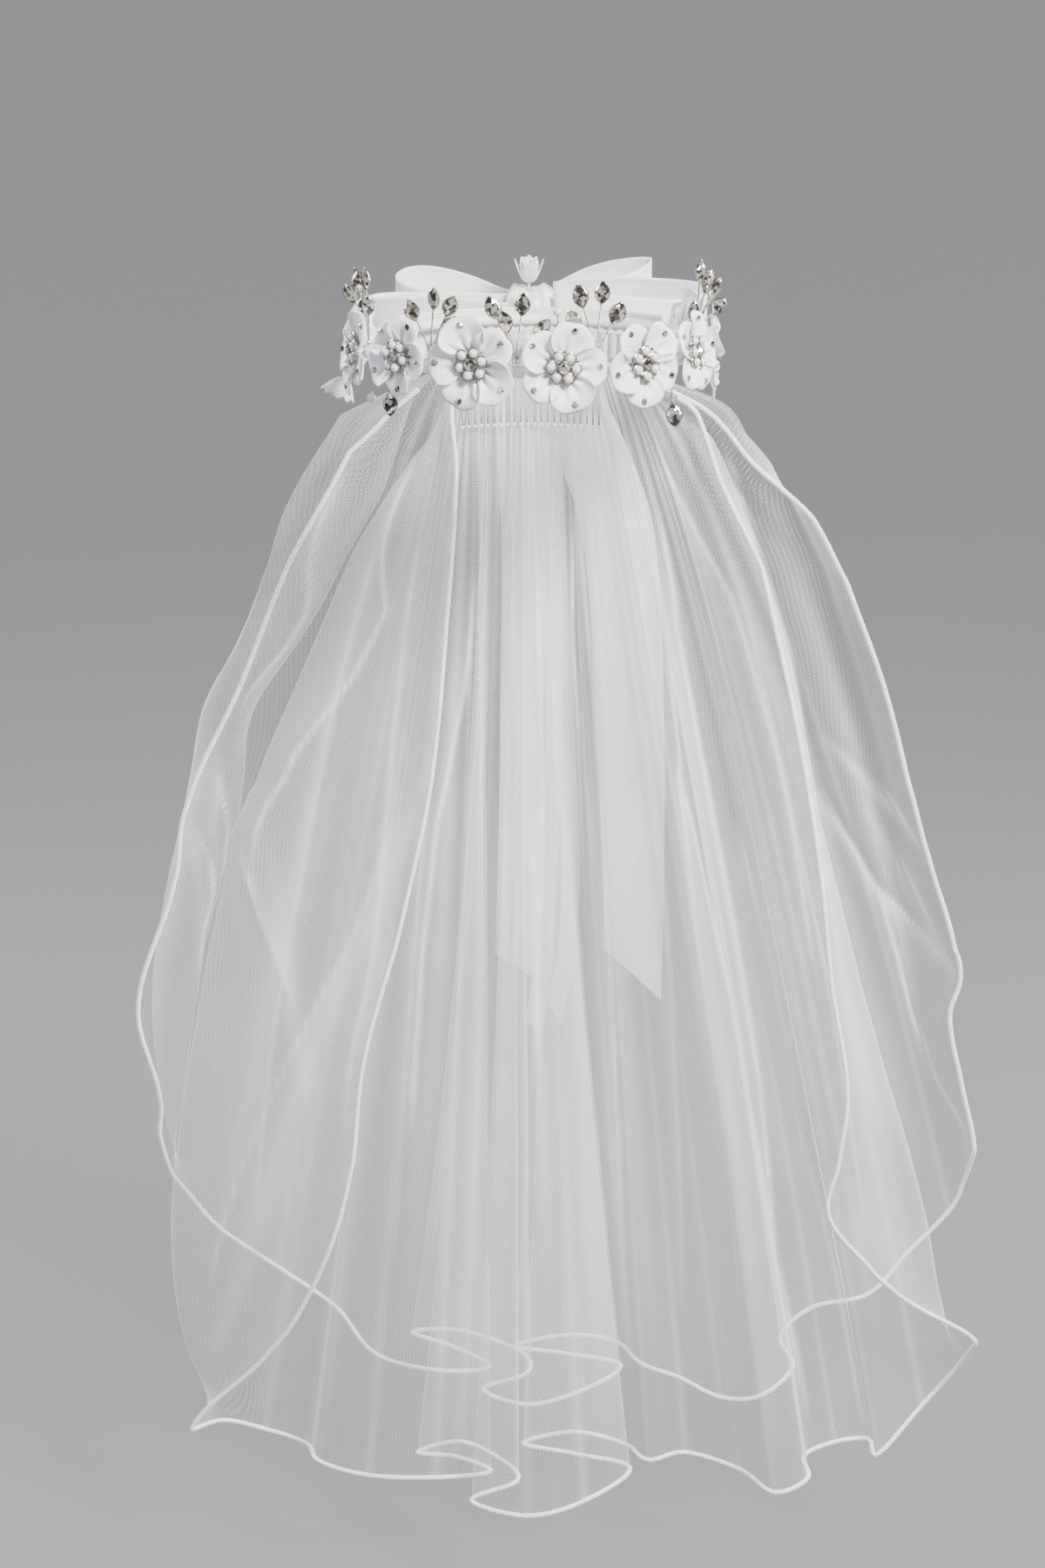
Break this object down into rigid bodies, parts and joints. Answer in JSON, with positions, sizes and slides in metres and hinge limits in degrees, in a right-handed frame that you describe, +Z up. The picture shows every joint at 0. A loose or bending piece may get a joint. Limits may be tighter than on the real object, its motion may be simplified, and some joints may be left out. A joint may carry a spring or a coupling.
{
  "type": "bridal veil with floral wreath",
  "caption": "Two-tier corded tulle veil gathered on a comb below a wreath of satin flowers, crystal leaves, a satin bow and streamers.",
  "frame": {"origin": "centre of the head ring, where the wearer's head holds the wreath", "axes": "+Z up, the wearer looks along -Y, the veil hangs at +Y, +X to the right in the picture"},
  "size_m": [0.49, 0.2564, 0.7268],
  "materials": {
    "tulle": "fine hexagonal net, soft white",
    "edge_cord": "twisted satin cord",
    "ribbon_satin": "smooth ivory-white satin",
    "petal_satin": "pleated white satin",
    "pearl": "pearl lustre with silver wire",
    "crystal": "faceted clear stone in silver setting",
    "comb_plastic": "clear moulded plastic"
  },
  "bodies": {
    "root": {"back_band": "ribbon_satin", "bow_knot": "ribbon_satin", "bow_loop_lower_left": "ribbon_satin", "bow_loop_lower_right": "ribbon_satin", "bow_loop_upper_left": "ribbon_satin", "bow_loop_upper_right": "ribbon_satin", "comb": "comb_plastic", "crystal_spray_1": "crystal", "crystal_spray_2": "crystal", "crystal_spray_3": "crystal", "crystal_spray_4": "crystal", "crystal_spray_5": "crystal", "crystal_spray_6": "crystal", "crystal_spray_7": "crystal", "flower_0": "petal_satin", "flower_0_centre": "pearl", "flower_1": "petal_satin", "flower_1_centre": "pearl", "flower_2": "petal_satin", "flower_2_centre": "pearl", "flower_3": "petal_satin", "flower_3_centre": "pearl", "flower_4": "petal_satin", "flower_4_centre": "pearl", "flower_5": "petal_satin", "flower_5_centre": "pearl", "flower_6": "petal_satin", "flower_6_centre": "pearl", "flower_7": "petal_satin", "flower_7_centre": "pearl", "flower_8": "petal_satin", "flower_8_centre": "pearl", "frilled_flower": "petal_satin", "gather_band": "ribbon_satin", "hanging_leaf_left": "crystal", "hanging_leaf_right": "crystal", "knot_bud": "petal_satin", "long_tier": "tulle", "long_tier_cord": "edge_cord", "pearl_wire_left": "pearl", "pearl_wire_middle": "pearl", "short_tier": "tulle", "short_tier_cord": "edge_cord", "streamer_narrow_left": "ribbon_satin", "streamer_narrow_right": "ribbon_satin", "streamer_wide_left": "ribbon_satin", "streamer_wide_right": "ribbon_satin", "wreath_ring": "ribbon_satin"}
  },
  "joints": []
}
